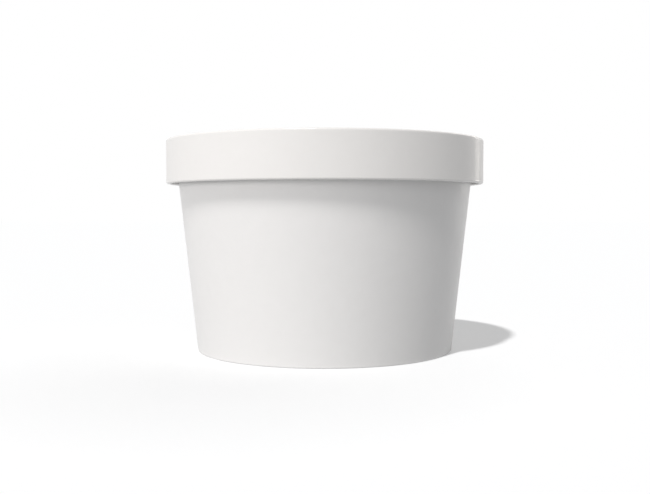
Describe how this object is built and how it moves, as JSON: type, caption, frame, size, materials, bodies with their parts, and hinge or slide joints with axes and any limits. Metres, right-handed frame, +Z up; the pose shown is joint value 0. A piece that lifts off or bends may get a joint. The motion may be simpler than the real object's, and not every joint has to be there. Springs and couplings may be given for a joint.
{
  "type": "paper food bucket",
  "caption": "Round white paperboard food bucket with a rolled rim and a folded foot, closed by a push-on paperboard lid with a raised, folded edge.",
  "frame": {"origin": "centre of the foot's ring, at the height of the surface that the bucket stands on", "axes": "+Z up along the bucket's axis, towards the lid; the side seam of the wall lies towards +Y"},
  "size_m": [0.12, 0.12, 0.0792],
  "materials": {
    "bucket_board": "white coated paperboard, satin",
    "lid_board": "warm white coated paperboard, satin"
  },
  "bodies": {
    "bucket": {"bucket_wall": "bucket_board", "bucket_base": "bucket_board"},
    "lid": {"lid_band": "lid_board", "lid_top": "lid_board"}
  },
  "joints": [
    {"name": "lid_lift", "type": "slide", "parent": "bucket", "child": "lid", "axis": [0, 0, 1], "range_m": [0, 0.06]}
  ]
}
